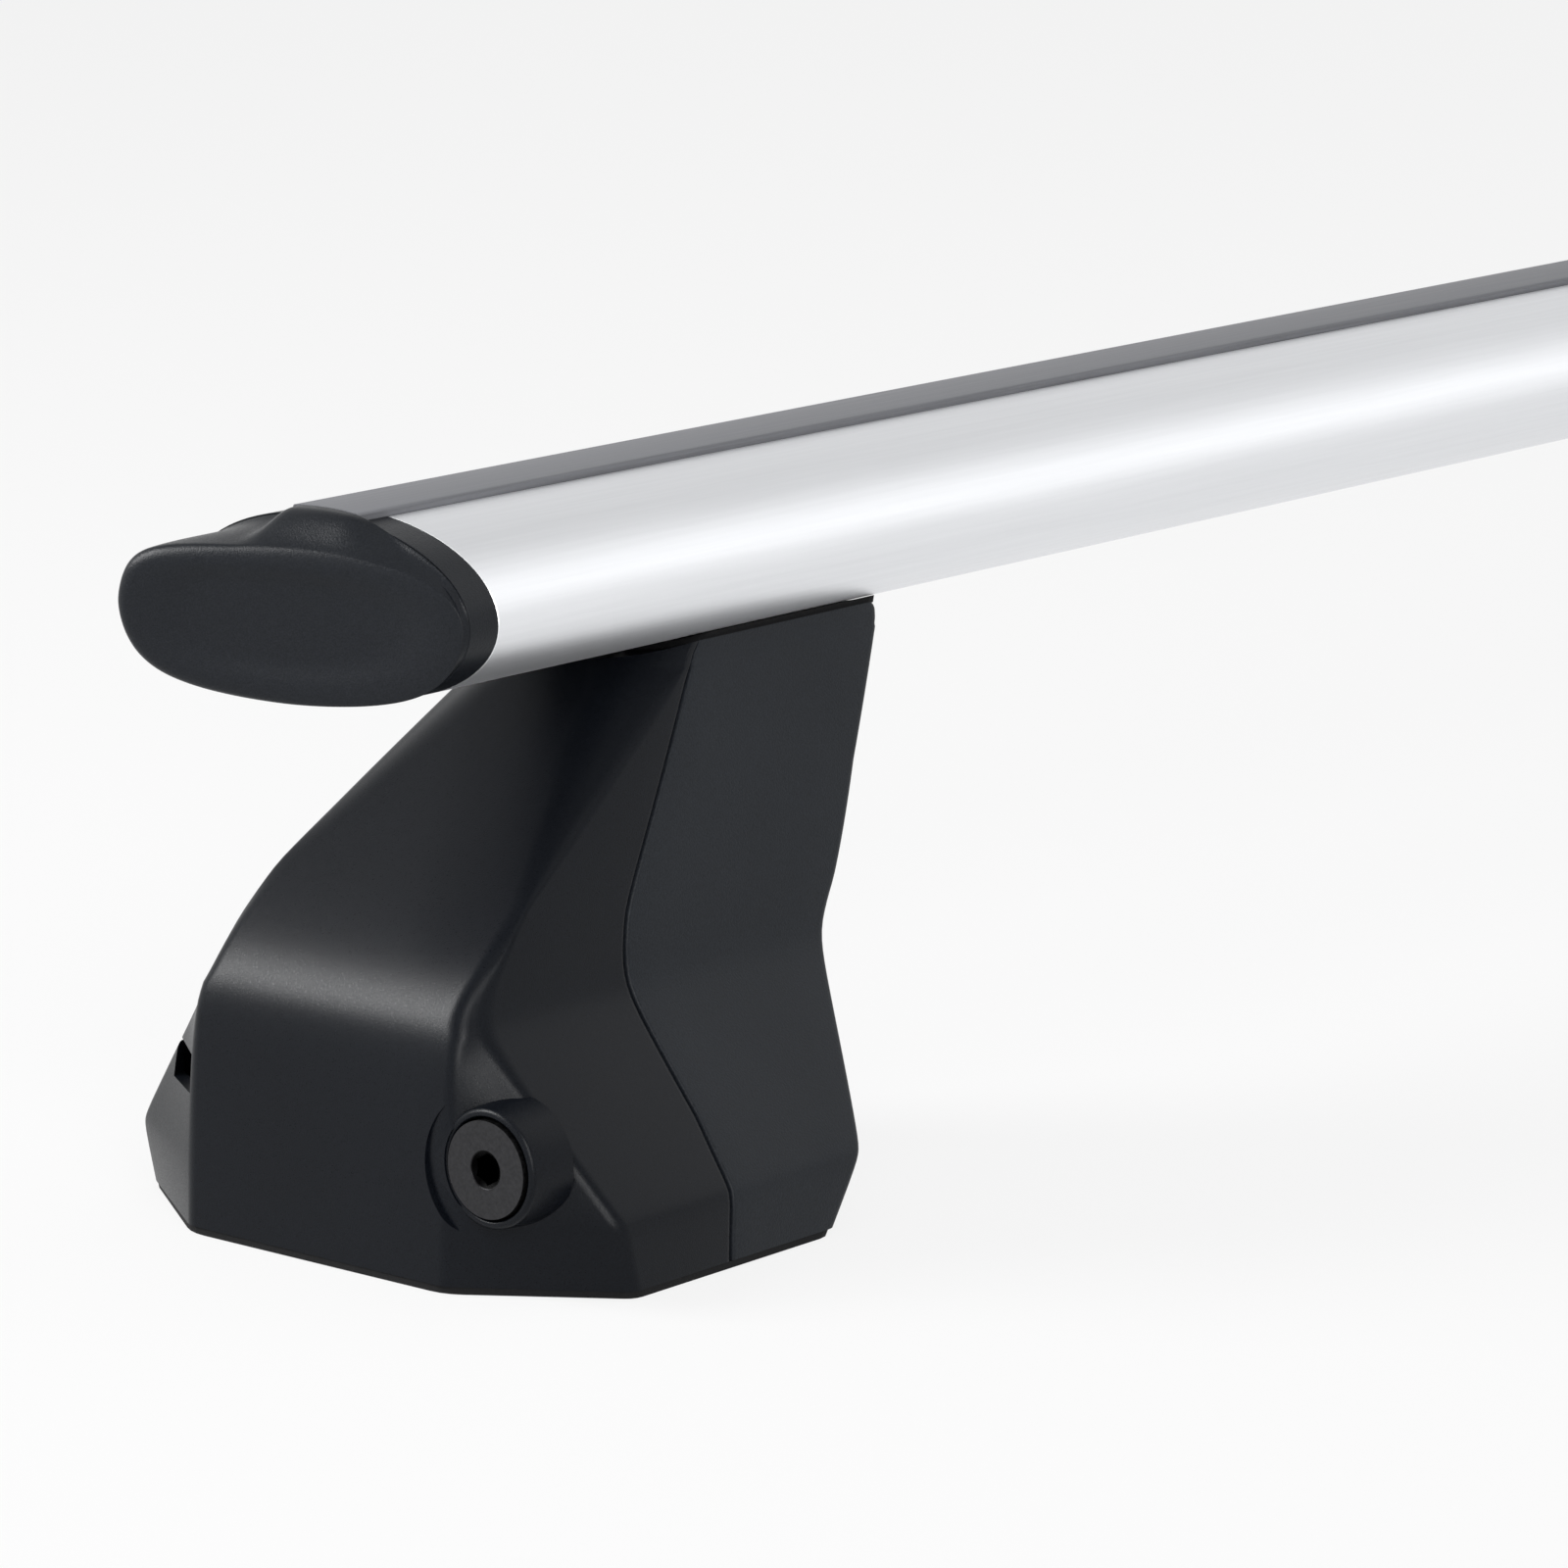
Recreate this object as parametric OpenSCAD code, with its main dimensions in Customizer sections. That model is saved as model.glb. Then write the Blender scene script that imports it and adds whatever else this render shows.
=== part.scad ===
// Roof rack crossbar: an aluminium wing bar with a rubber-filled slot, carried by two clamping feet.
// X runs along the bar, Y across it and Z up. The origin is on the ground under the bar's middle.

/* [Crossbar] */
// Overall length over both end caps
overall_length = 1270; // [1100:10:1400]
// Width of the bar's oval section
bar_width = 80; // [76:1:84]
// Height of the bar's oval section
bar_height = 39.2; // [37:0.2:41]
// Wall of the aluminium section
bar_wall = 2; // [1.6:0.1:2.4]
// Thickness of the lips beside each slot's mouth
lip = 2.6; // [2.2:0.1:3]
// Width of the mouth of the slot along the top
top_mouth = 12; // [11:0.5:13]
// Width of the chamber under the top slot
top_chamber = 24; // [21:0.5:25]
// Depth of the chamber under the top slot
top_depth = 8; // [7:0.5:8.5]
// Width of the mouth of the channel along the underside
low_mouth = 11; // [10.5:0.5:12]
// Width of the chamber over the lower channel
low_chamber = 22; // [21:0.5:24]
// Height of the chamber over the lower channel
low_depth = 7; // [6.5:0.5:7.5]

/* [Slot strip] */
// Width of the rubber strip on top of the bar
strip_width = 18.5; // [17:0.5:20]
// Rise of the strip's crown above its seat
strip_rise = 2.9; // [2.4:0.1:3.4]
// Depth of the flat seat milled by the extrusion below the oval's crest
seat_depth = 1.4; // [1.2:0.1:1.6]

/* [End caps] */
// Length of the flush collar between the bar and the cap
collar_length = 8.5; // [7:0.5:10]
// Reach of the cap past the collar at its leading edge
cap_short = 1.8; // [1.5:0.1:2.5]
// Reach of the cap past the collar at its trailing edge
cap_long = 23.5; // [20:0.5:26]
// Wall of the cap and the collar
cap_wall = 2.4; // [2:0.1:3]
// Fall of the cap's top between the parting line and the front rim
cap_fall = 6.2; // [4:0.2:8]
// Length of the spigots that plug into the bar
spigot = 20; // [14:1:26]

/* [Feet] */
// Height from the ground to the bar's underside
foot_height = 119.3; // [116:0.1:124]
// Half width of the foot at its base
base_half = 69.5; // [68:0.5:73]
// Height of the upright skirt round the base
skirt_z = 16; // [14:0.5:18]
// Sideways run of the flare for each millimetre of height
flare = 0.82; // [0.76:0.01:0.88]
// Half width of the foot at its waist
waist_half = 37; // [36:0.5:40]
// Half width of the foot where it meets the bar
top_half = 25.5; // [25:0.5:28]
// Height of the waist
waist_z = 66; // [64:0.5:69]
// Half width of the plain middle of the front face
face_half = 36.7; // [34:0.1:38]
// Distance of the front face's top from the cut end of the bar
front_top = 67.7; // [65:0.1:70]
// Forward run of the front slope for each millimetre of height
front_slope = 1.33; // [1.28:0.01:1.36]
// Overhang of the front face's lower part past the cut end of the bar
front_reach = 15.3; // [14:0.1:16]
// Distance of the rear edge's top from the cut end of the bar
back_top = 141.2; // [138:0.1:145]
// Distance of the rear edge's base from the cut end of the bar
back_base = 72; // [69:0.5:74]
// Depth along X of the angled facets for each millimetre below their narrowest place
facet_low = 0.3; // [0.26:0.01:0.33]
// Depth along X of the angled facets for each millimetre above their narrowest place
facet_high = 0.22; // [0.18:0.01:0.25]
// Distance along X from the front face's top to the seam's top
seam_offset = 10.2; // [9:0.2:11]
// Wall of the moulded foot
foot_wall = 3.2; // [2.8:0.1:3.4]
// Gap along the line between the cover and the rear housing
seam_gap = 0.5; // [0.3:0.1:0.8]
// Thickness of the rubber pad under the foot
pad_thick = 1.5; // [1.2:0.1:2]
// Thickness of the rubber gasket under the bar
gasket_thick = 1.5; // [1.2:0.1:2]

/* [Clamp] */
// Distance of the clamp bolt's axis from the foot's side
bolt_inset = 22.6; // [21.6:0.1:23.4]
// Height of the clamp bolt's axis
bolt_z = 28; // [27:0.5:29]
// Diameter of the clamp bolt's round head
head_dia = 20.8; // [20:0.1:21.4]
// Length of the clamp bolt's head
head_length = 8; // [7:0.5:9]
// Size of the hex socket across its flats
socket_flats = 6; // [5:1:8]
// Diameter of the clamp bolt's thread
thread_dia = 8; // [7:0.5:8.5]
// Travel of the clamp block along the bolt
clamp_travel = 15; // [10:1:18]
// Diameter of the two bolts that hold the foot to the bar
bar_bolt_dia = 8; // [7:0.5:8.5]
// Distance between those two bolts
bar_bolt_pitch = 30; // [26:1:32]

/* [Hidden] */

// Fits and clearances
eps = 0.01;        // overlap that makes a cut clean
slide_gap = 0.3;   // between bodies that pass each other
seat_gap = 0.1;    // between pieces that are seated
run_gap = 0.05;    // radial clearance of a running fit
clear_gap = 0.4;   // radial clearance of a bolt in its hole
past = 20;         // how far a cutter passes the surface that it cuts

// Bar section
bar_a = bar_width / 2;
bar_b = bar_height / 2;
bar_z = foot_height + bar_b;
bar_length = overall_length - 2 * (collar_length + cap_long);
seat_z = bar_b - seat_depth;
top_roof = seat_z - lip;
top_floor = top_roof - top_depth;
low_floor = -bar_b + lip;
low_roof = low_floor + low_depth;
web_y = 9;
oval_steps = 96;
strip_edge = 2.2;
strip_root = 2.6;
strip_barb = 1.6;

// End cap form
cap_levels = 9;
cap_points = 48;
cap_fall_power = 0.6;
cap_lift = 1.1;
cap_inset = 0.6;
cap_bead = 3.4;
bead_start = 0.88;
bead_levels = 3;
hump_rise = 1.7;
hump_swell = 18;
hump_half = 14;
hump_blend = 7;
prong_offset = 8;
prong_half = 4;
prong_gap = 0.8;
prong_length = 14;

// Foot form
bend = 11;
skirt_bend = 1.5;
waist_bend = 4;
facet_min = 3;
facet_bend = 1.2;
facet_z = waist_z + 10;
face_lean = 0.03;
belly = 2;
belly_z = 90;
shoulder_power = 1.25;
face_soft = 4;
ridge_soft = 2.4;
back_soft = 4;
corner_steps = 3;
facet_steps = 3;
foot_levels = 15;
skirt_step = 1.6;
top_rise = 9;
seam_x0 = 41;
seam_bend = 4;
seam_slope = 0.74;
seam_top = front_top + seam_offset;
seam_curl = 2.5;
seam_curl_z = 30;
seam_steps = 24;
roof_z = foot_height - 11.3;
flange_thick = 4;
plate = 3;
plate_y = 20;
saddle_x = (front_top + back_top) / 2 - 4;

// Clamp places
bolt_y = bolt_inset - base_half;
head_x = -13;
boss_r = head_dia / 2 + 2.4;
boss_base_r = head_dia / 2 + 3.2;
boss_x = -12.4;
boss_end = -1;
head_gap = 0.6;
relief_r = head_dia / 2 + 5.8;
relief_x = -12.8;
floor_x = head_x + head_length;
floor_thick = 3;
clip_x = floor_x + floor_thick + slide_gap;
clip_thick = 1.2;
clip_rim = 2;
spacer_x = clip_x + clip_thick + slide_gap;
spacer_run = 6;
spacer_flange = 2;
cross_x = spacer_x + spacer_run;
cross_thick = 4;
block_length = 16;
block_clear = 1;
block_x = cross_x + cross_thick + block_clear + clamp_travel + block_length / 2;
tongue = 9;
tail_gap = 10;
tail_end = 5;
tail_x = block_x + block_length / 2 + tail_gap;
bolt_end = tail_x + plate + tail_end;
deck_z = 6;
deck_thick = 4;

// Room round the clamp bolt inside the flared side
flank_normal = norm([1, flare]);
flank = (bolt_y + base_half - flare * (bolt_z - skirt_z)) / flank_normal;
eye_r = flank - foot_wall / flank_normal - clear_gap;
block_r = eye_r - 1.9;

// Latch window in the far facet
latch_width = 10.5;
latch_size = 8.4;
latch_y = face_half + 6.5;
latch_z = waist_z - 31.8;

// Bracket
flange_x0 = saddle_x - 25;
flange_x1 = saddle_x + 24;
deck_end = bolt_end + 2;
brace_drop = 20;
brace_rise = 4;
window_r = 13;
window_x = (cross_x + flange_x1) / 2 - 8.5;
window_z = waist_z - 18;

function clamped(t) = min(1, max(0, t));
function smooth(t) = let (u = clamped(t)) u * u * (3 - 2 * u);
function soft_max(a, b, w) = (a + b + norm([a - b, w])) / 2;
function soft_min(a, b, w) = (a + b - norm([a - b, w])) / 2;
function unit(v) = v / norm(v);

// Points round an oval, from half axes a and b
function oval(a, b) = [for (i = [0 : oval_steps - 1])
    let (t = 360 * i / oval_steps) [a * cos(t), b * sin(t)]];

// A solid whose section across the bar is the polygon p, from x0 to x1, at the bar's height
module bar_prism(p, x0, x1) {
    translate([x0, 0, bar_z]) rotate([90, 0, 90]) linear_extrude(x1 - x0) polygon(p);
}

// A box across the bar's section, from y0 to y1 and z0 to z1 measured from the bar's middle
module bar_box(x0, x1, y0, y1, z0, z1) {
    translate([x0, y0, bar_z + z0]) cube([x1 - x0, y1 - y0, z1 - z0]);
}

// Half width of the foot at height z: a tapering neck, a straight flare and an upright skirt
function neck_at(z) = waist_half - (waist_half - top_half)
    * pow(max(0, z - waist_z) / (foot_height - waist_z), shoulder_power);
function half_at(z) = soft_min(
    soft_max(neck_at(z), base_half - flare * (z - skirt_z), waist_bend), base_half, skirt_bend);

// Place along X of the front face, the rear edge and the seam at height z
function front_at(z) = soft_max(-front_reach + face_lean * z,
    front_top + front_slope * (z - foot_height), bend);
function back_at(z) = let (u = clamped(z / belly_z))
    back_base + (back_top - back_base) * z / foot_height + 4 * belly * u * (1 - u);
function seam_at(z) = let (u = clamped(1 - z / seam_curl_z))
    soft_max(seam_x0, seam_top + seam_slope * (z - foot_height), seam_bend) - seam_curl * u * (2 - u);

// Start across Y and depth along X of the angled facet at height z, which is narrowest at facet_z
function facet_rise(z) = facet_high * max(0, z - facet_z);
function facet_y(z) = min(face_half, half_at(z) - facet_min - facet_rise(z));
function facet_at(z) = soft_max(facet_low * (facet_z - z), facet_rise(z), facet_bend);

// The foot's corners on one side at height z, moved inwards by w: face edge, ridge and rear corner
function corners(z, w) = let (
    a = half_at(z), c = facet_y(z), d = facet_at(z), f = front_at(z),
    len = norm([d, a - c])
) [
    [f + w, c - w * (len - (a - c)) / d],
    [f + (d * (a - c - w) + w * len) / (a - c), a - w],
    [back_at(z) - w, a - w]
];

// A softened corner at q, between p and r
function soft_corner(p, q, r, size) = let (
    t = min(size, 0.45 * norm(p - q), 0.45 * norm(r - q)),
    s = q + t * unit(p - q), e = q + t * unit(r - q)
) [for (i = [0 : corner_steps]) let (u = i / corner_steps)
    (1 - u) * (1 - u) * s + 2 * u * (1 - u) * q + u * u * e];

function flipped(p) = [for (i = [len(p) - 1 : -1 : 0]) [p[i].x, -p[i].y]];

// One horizontal section of the foot
function foot_section(z, w) = let (
    k = corners(z, w),
    face = soft_corner([k[0].x, 0], k[0], k[1], face_soft),
    ridge = soft_corner(k[0], k[1], k[2], ridge_soft),
    s = face[corner_steps], e = ridge[0],
    half = concat(face,
        [for (i = [1 : facet_steps - 1]) let (u = i / facet_steps) (1 - u) * s + u * e],
        ridge, soft_corner(k[1], k[2], [k[2].x, 0], back_soft))
) [for (p = concat(half, flipped(half))) [p.x, p.y, z]];

// A solid through a stack of closed sections with equal numbers of points
module loft(s) {
    n = len(s[0]);
    m = len(s);
    polyhedron(
        points = [for (q = s) for (p = q) p],
        faces = concat(
            [[for (j = [n - 1 : -1 : 0]) j]],
            [[for (j = [0 : n - 1]) (m - 1) * n + j]],
            [for (i = [0 : m - 2]) for (j = [0 : n - 1]) [i * n + j, i * n + (j + 1) % n, (i + 1) * n + j]],
            [for (i = [0 : m - 2]) for (j = [0 : n - 1])
                [i * n + (j + 1) % n, (i + 1) * n + (j + 1) % n, (i + 1) * n + j]]));
}

// The foot's outer form moved inwards by w, from height z0 to z1, with close levels at the skirt's top
module foot_form(w, z0, z1, levels = foot_levels) {
    first = skirt_z + skirt_step;
    heights = z1 < first ? [z0, z1] : z0 > skirt_z - skirt_step
        ? [for (i = [0 : levels]) z0 + (z1 - z0) * i / levels]
        : concat([z0, skirt_z / 2, skirt_z - skirt_step, skirt_z],
            [for (i = [0 : levels]) first + (z1 - first) * i / levels]);
    loft([for (z = heights) foot_section(z, w)]);
}

// A slab across the foot, drawn as a side view from y0 to y1
module side_slab(p, y0, y1) {
    translate([0, y1, 0]) rotate([90, 0, 0]) linear_extrude(y1 - y0) polygon(p);
}

// Everything ahead of the seam moved by shift, or everything behind it
module ahead_of_seam(shift, z0, z1) {
    side_slab(concat(
        [for (i = [0 : seam_steps]) let (z = z0 + (z1 - z0) * i / seam_steps) [seam_at(z) + shift, z]],
        [[-past - front_reach, z1], [-past - front_reach, z0]]), -base_half - past, base_half + past);
}
module behind_seam(shift, z0, z1) {
    side_slab(concat(
        [for (i = [0 : seam_steps]) let (z = z0 + (z1 - z0) * i / seam_steps) [seam_at(z) + shift, z]],
        [[back_top + past, z1], [back_top + past, z0]]), -base_half - past, base_half + past);
}

// A cylinder along X, from x0 to x1, round the clamp bolt's axis
module bolt_rod(r, x0, x1) {
    translate([x0, bolt_y, bolt_z]) rotate([0, 90, 0]) cylinder(r = r, h = x1 - x0, $fn = 64);
}

// Moves a piece from the frame of the bar's cut end to the left or right end of the rack
module at_left() { translate([-bar_length / 2, 0, 0]) children(); }
module at_right() { rotate([0, 0, 180]) translate([-bar_length / 2, 0, 0]) children(); }

// The hollow extrusion, with a slot along its top and a channel along its underside
module crossbar() {
    half = bar_length / 2;
    color([0.78, 0.79, 0.80]) difference() {
        bar_prism(oval(bar_a, bar_b), -half, half);
        difference() {
            bar_prism(oval(bar_a - bar_wall, bar_b - bar_wall), -half - eps, half + eps);
            bar_box(-half - past, half + past, -top_chamber / 2 - bar_wall, top_chamber / 2 + bar_wall,
                top_floor - bar_wall, bar_b);
            bar_box(-half - past, half + past, -low_chamber / 2 - bar_wall, low_chamber / 2 + bar_wall,
                -bar_b, low_roof + bar_wall);
            for (s = [-1, 1])
                bar_box(-half - past, half + past, s * web_y - bar_wall / 2, s * web_y + bar_wall / 2,
                    low_roof, top_floor);
        }
        bar_box(-half - past, half + past, -strip_width / 2 - seat_gap, strip_width / 2 + seat_gap,
            seat_z, bar_b + past);
        bar_box(-half - past, half + past, -top_mouth / 2, top_mouth / 2, top_roof - eps, seat_z + eps);
        bar_box(-half - past, half + past, -top_chamber / 2, top_chamber / 2, top_floor, top_roof);
        bar_box(-half - past, half + past, -low_mouth / 2, low_mouth / 2, -bar_b - past, low_floor + eps);
        bar_box(-half - past, half + past, -low_chamber / 2, low_chamber / 2, low_floor, low_roof);
    }
}

// Half of the strip's section, from its crown down to the barbs that grip under the lips
function strip_half() = let (
    w = strip_width / 2, m = top_mouth / 2 - seat_gap, crown = seat_z + strip_rise
) concat(
    [for (i = [0 : 6]) let (u = i / 6) [w * u, crown - 0.5 * u * u]],
    [[w, seat_z], [m, seat_z], [m, top_roof], [m + strip_barb, top_roof - seat_gap],
     [m - strip_barb, top_roof - strip_root], [m - 2 * strip_barb, top_roof - strip_root],
     [m - 2 * strip_barb, seat_z - lip / 2]]);

// The rubber strip that fills the top slot
module slot_strip() {
    p = strip_half();
    half = bar_length / 2 + collar_length;
    color([0.46, 0.47, 0.50]) bar_prism(
        concat(p, [for (i = [len(p) - 1 : -1 : 1]) [-p[i].x, p[i].y]]), -half, half);
}

// The flush collar that plugs into the bar's end and holds the cap
module end_collar() {
    side_y = top_chamber / 2 + bar_wall + clear_gap;
    in_a = bar_a - bar_wall - clear_gap;
    in_b = bar_b - bar_wall - clear_gap;
    color([0.19, 0.20, 0.21]) difference() {
        union() {
            bar_prism(oval(bar_a, bar_b), -collar_length, -eps);
            for (s = [-1, 1]) intersection() {
                bar_prism(oval(in_a, in_b), -collar_length, spigot);
                bar_box(-collar_length, spigot, min(s * side_y, s * bar_a), max(s * side_y, s * bar_a),
                    -bar_b, bar_b);
            }
        }
        bar_prism(oval(in_a - cap_wall, in_b - cap_wall), -collar_length - past, spigot + past);
        bar_box(-collar_length - past, past, -strip_width / 2 - seat_gap, strip_width / 2 + seat_gap,
            seat_z, bar_b + past);
        bar_box(-collar_length - past, past, -top_chamber / 2, top_chamber / 2, top_floor, top_roof);
        bar_box(-collar_length - past, past, -top_mouth / 2, top_mouth / 2, top_roof - eps, seat_z + eps);
    }
}

// Front plane of the cap, swept back from the leading edge to the trailing edge
function cap_front(y) = -collar_length - cap_short
    - (cap_long - cap_short) * (y + bar_a) / (2 * bar_a);
// Extra squareness of the cap's outline in each quarter, from the trailing top round to the trailing bottom
cap_square = [1.5, 0.25, 0.5, 0.6];
function quarter_at(t) = cap_square[floor(t / 90) % 4] * abs(sin(2 * t));
function signed_power(v, p) = sign(v) * pow(abs(v), p);
// Height of the hump that runs from the strip down to the front, at stage u and place y
function hump_at(u, y) = (hump_rise + hump_swell * u) * (1 - u) * (1 - u)
    * smooth((hump_half - abs(y)) / hump_blend);
// One section of the cap's outside at stage u from the collar to the front, moved inwards by w
function cap_section(u, w, inset = 0) = let (
    v = clamped(u),
    a = bar_a - w - inset - cap_inset * v,
    up = bar_b - w - inset - cap_fall * pow(v, cap_fall_power),
    down = bar_b - w - inset - cap_lift * v
) [for (i = [0 : cap_points - 1]) let (
    t = 360 * i / cap_points,
    n = 2 / (2 + quarter_at(t) * smooth(v)),
    y = a * signed_power(cos(t), n),
    z = (sin(t) > 0 ? up : down) * signed_power(sin(t), n) + (sin(t) > 0 ? hump_at(v, y) : 0),
    reach = max(seat_gap, -collar_length - seat_gap - cap_front(y) - w)
) [-collar_length - seat_gap - u * reach, y, bar_z + z]];

// The moulded end cap, hollow, with two prongs that grip inside the collar
module end_cap() {
    in_a = bar_a - bar_wall - clear_gap - cap_wall;
    in_b = bar_b - bar_wall - clear_gap - cap_wall;
    prong_y = top_chamber / 2 + bar_wall + prong_offset;
    prong_z = in_b * sqrt(1 - pow((prong_y + prong_half) / in_a, 2)) - prong_gap;
    color([0.17, 0.18, 0.19]) {
        difference() {
            loft(concat(
                [for (i = [0 : cap_levels]) cap_section(bead_start * i / cap_levels, 0)],
                [for (i = [1 : bead_levels]) let (q = 90 * i / bead_levels)
                    cap_section(bead_start + (1 - bead_start) * sin(q), 0, cap_bead * (1 - cos(q)))]));
            loft([for (i = [-1 : cap_levels]) cap_section(i / cap_levels, cap_wall)]);
        }
        for (s = [-1, 1]) difference() {
            bar_box(cap_front(s * prong_y) + cap_wall / 2, -collar_length + prong_length,
                s * prong_y - prong_half, s * prong_y + prong_half, -prong_z, prong_z);
            bar_box(-collar_length - seat_gap, -collar_length + prong_length + past,
                s * prong_y - prong_half / 2, s * prong_y + prong_half / 2, -prong_z - eps, prong_z + eps);
        }
    }
}

// The rear housing: a moulded shell with a thick saddle that the bar's underside lies on
module foot_housing() {
    color([0.11, 0.11, 0.12]) difference() {
        intersection() {
            foot_form(0, pad_thick, foot_height + top_rise);
            behind_seam(seam_gap / 2, pad_thick - 1, foot_height + top_rise + 1);
        }
        foot_form(foot_wall, pad_thick - 1, roof_z);
        bar_prism(oval(bar_a + seat_gap + gasket_thick, bar_b + slide_gap + gasket_thick),
            -past, back_top + past);
        for (s = [-1, 1]) bar_bolt_rod(s, bar_bolt_dia / 2 + clear_gap, roof_z - past, foot_height + past);
    }
}

// The front cover: a moulded shell with a boss that holds the clamp bolt's head and a window for its latch
module foot_cover() {
    color([0.09, 0.09, 0.10]) difference() {
        union() {
            difference() {
                intersection() {
                    foot_form(0, pad_thick + seat_gap, foot_height + top_rise);
                    ahead_of_seam(-seam_gap / 2, pad_thick, foot_height + top_rise + 1);
                }
                foot_form(foot_wall, pad_thick - 1, foot_height - 6);
                bolt_rod(relief_r, relief_x - past, relief_x);
            }
            translate([boss_x, bolt_y, bolt_z]) rotate([0, 90, 0])
                cylinder(r1 = boss_r, r2 = boss_base_r, h = boss_end - boss_x, $fn = 64);
        }
        bar_prism(oval(bar_a + seat_gap + gasket_thick, bar_b + slide_gap + gasket_thick),
            -past, back_top + past);
        bolt_rod(head_dia / 2 + head_gap, boss_x - past, floor_x);
        bolt_rod(thread_dia / 2 + clear_gap, floor_x - eps, boss_end);
        bolt_rod(eye_r + slide_gap, floor_x + floor_thick, spacer_x + spacer_run);
        translate([-past - front_reach, latch_y - latch_width / 2, latch_z - latch_size / 2])
            cube([past * 2 + front_reach, latch_width, latch_size]);
    }
}

// A rod along Z through one of the two bar bolts' holes
module bar_bolt_rod(s, r, z0, z1) {
    translate([saddle_x + s * bar_bolt_pitch / 2, 0, z0]) cylinder(r = r, h = z1 - z0, $fn = 48);
}

// The rubber gasket between the saddle and the bar
module saddle_gasket() {
    color([0.05, 0.05, 0.05]) difference() {
        intersection() {
            foot_form(0.6, foot_height - 8, foot_height + top_rise - 1, 4);
            bar_prism(oval(bar_a + seat_gap + gasket_thick, bar_b + slide_gap + gasket_thick),
                -past, back_top + past);
            translate([seam_at(foot_height) + 1, -base_half, foot_height - 5])
                cube([back_top, 2 * base_half, top_rise + 20]);
        }
        bar_prism(oval(bar_a + seat_gap, bar_b + slide_gap), -past, back_top + past);
        for (s = [-1, 1]) bar_bolt_rod(s, bar_bolt_dia / 2 + clear_gap, foot_height - past, foot_height + past);
    }
}

// The rubber pad that the foot stands on
module base_pad() {
    color([0.08, 0.08, 0.08]) difference() {
        union() {
            foot_form(0.3, 0, pad_thick, 1);
            foot_form(foot_wall + clear_gap, pad_thick - eps, deck_z, 2);
        }
        translate([block_x - block_length / 2 - clamp_travel - block_clear, bolt_y - tongue, -1])
            cube([clamp_travel + block_length + 2 * block_clear, 2 * tongue, deck_z + 2]);
    }
}

// Side view of the bracket's cheeks
function cheek() = [
    [cross_x, deck_z], [deck_end, deck_z], [flange_x1, roof_z - flange_thick], [flange_x1, roof_z],
    [flange_x0 + 2, roof_z], [seam_x0 + 1, waist_z + brace_rise], [cross_x, waist_z - brace_drop]
];

// The steel bracket that carries the load from the bar to the clamp
module foot_bracket() {
    color([0.55, 0.56, 0.57]) difference() {
        union() {
            for (s = [-1, 1]) side_slab(cheek(), min(s * plate_y, s * (plate_y - plate)),
                max(s * plate_y, s * (plate_y - plate)));
            translate([flange_x0, -plate_y, roof_z - flange_thick])
                cube([flange_x1 - flange_x0, 2 * plate_y, flange_thick]);
            translate([cross_x, bolt_y - tongue / 2, deck_z])
                cube([deck_end - cross_x, plate_y - bolt_y + tongue / 2, deck_thick]);
            translate([cross_x, bolt_y, deck_z])
                cube([cross_thick, plate_y - bolt_y, bolt_z + eye_r - deck_z]);
            bolt_rod(eye_r, cross_x, cross_x + cross_thick);
            translate([tail_x, bolt_y, deck_z]) cube([plate, plate_y - bolt_y - eps, bolt_z + eye_r - deck_z]);
            bolt_rod(eye_r, tail_x, tail_x + plate);
        }
        bolt_rod(thread_dia / 2 + clear_gap, cross_x - 1, bolt_end);
        translate([block_x - block_length / 2 - clamp_travel - block_clear, bolt_y - tongue / 2 - slide_gap,
            deck_z - 1])
            cube([clamp_travel + block_length + 2 * block_clear, tongue + 2 * slide_gap, deck_thick + 2]);
        for (s = [-1, 1]) bar_bolt_rod(s, bar_bolt_dia / 2 + clear_gap, roof_z - past, roof_z + past);
        translate([window_x, 0, window_z]) rotate([90, 0, 0])
            cylinder(r = window_r, h = 4 * plate_y, center = true, $fn = 64);
    }
}

// The two T bolts whose heads lie in the bar's lower channel
module bar_bolts() {
    low = bar_z + low_floor + slide_gap;
    color([0.62, 0.63, 0.64]) for (s = [-1, 1]) {
        bar_bolt_rod(s, bar_bolt_dia / 2, roof_z - 16, low + 1);
        translate([saddle_x + s * bar_bolt_pitch / 2 - 7, -low_chamber / 2 + slide_gap, low])
            cube([14, low_chamber - 2 * slide_gap, low_depth - 2]);
    }
}

// The flanged nuts under the bracket's top flange
module bar_nuts() {
    nut_flats = 13;
    nut_high = 7;
    top = roof_z - flange_thick;
    color([0.60, 0.61, 0.62]) for (s = [-1, 1]) difference() {
        union() {
            bar_bolt_rod(s, nut_flats / 2 + 2.2, top - 1.6, top);
            translate([saddle_x + s * bar_bolt_pitch / 2, 0, top - nut_high])
                cylinder(r = nut_flats / sqrt(3), h = nut_high - 1, $fn = 6);
        }
        bar_bolt_rod(s, bar_bolt_dia / 2, top - past, top + past);
    }
}

// The turned steel spacer between the cover's boss and the bracket
module bolt_spacer() {
    color([0.42, 0.42, 0.43]) difference() {
        union() {
            bolt_rod(eye_r - 1, spacer_x, cross_x);
            bolt_rod(eye_r, cross_x - spacer_flange, cross_x);
        }
        bolt_rod(thread_dia / 2 + clear_gap, head_x, cross_x + 1);
    }
}

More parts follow.
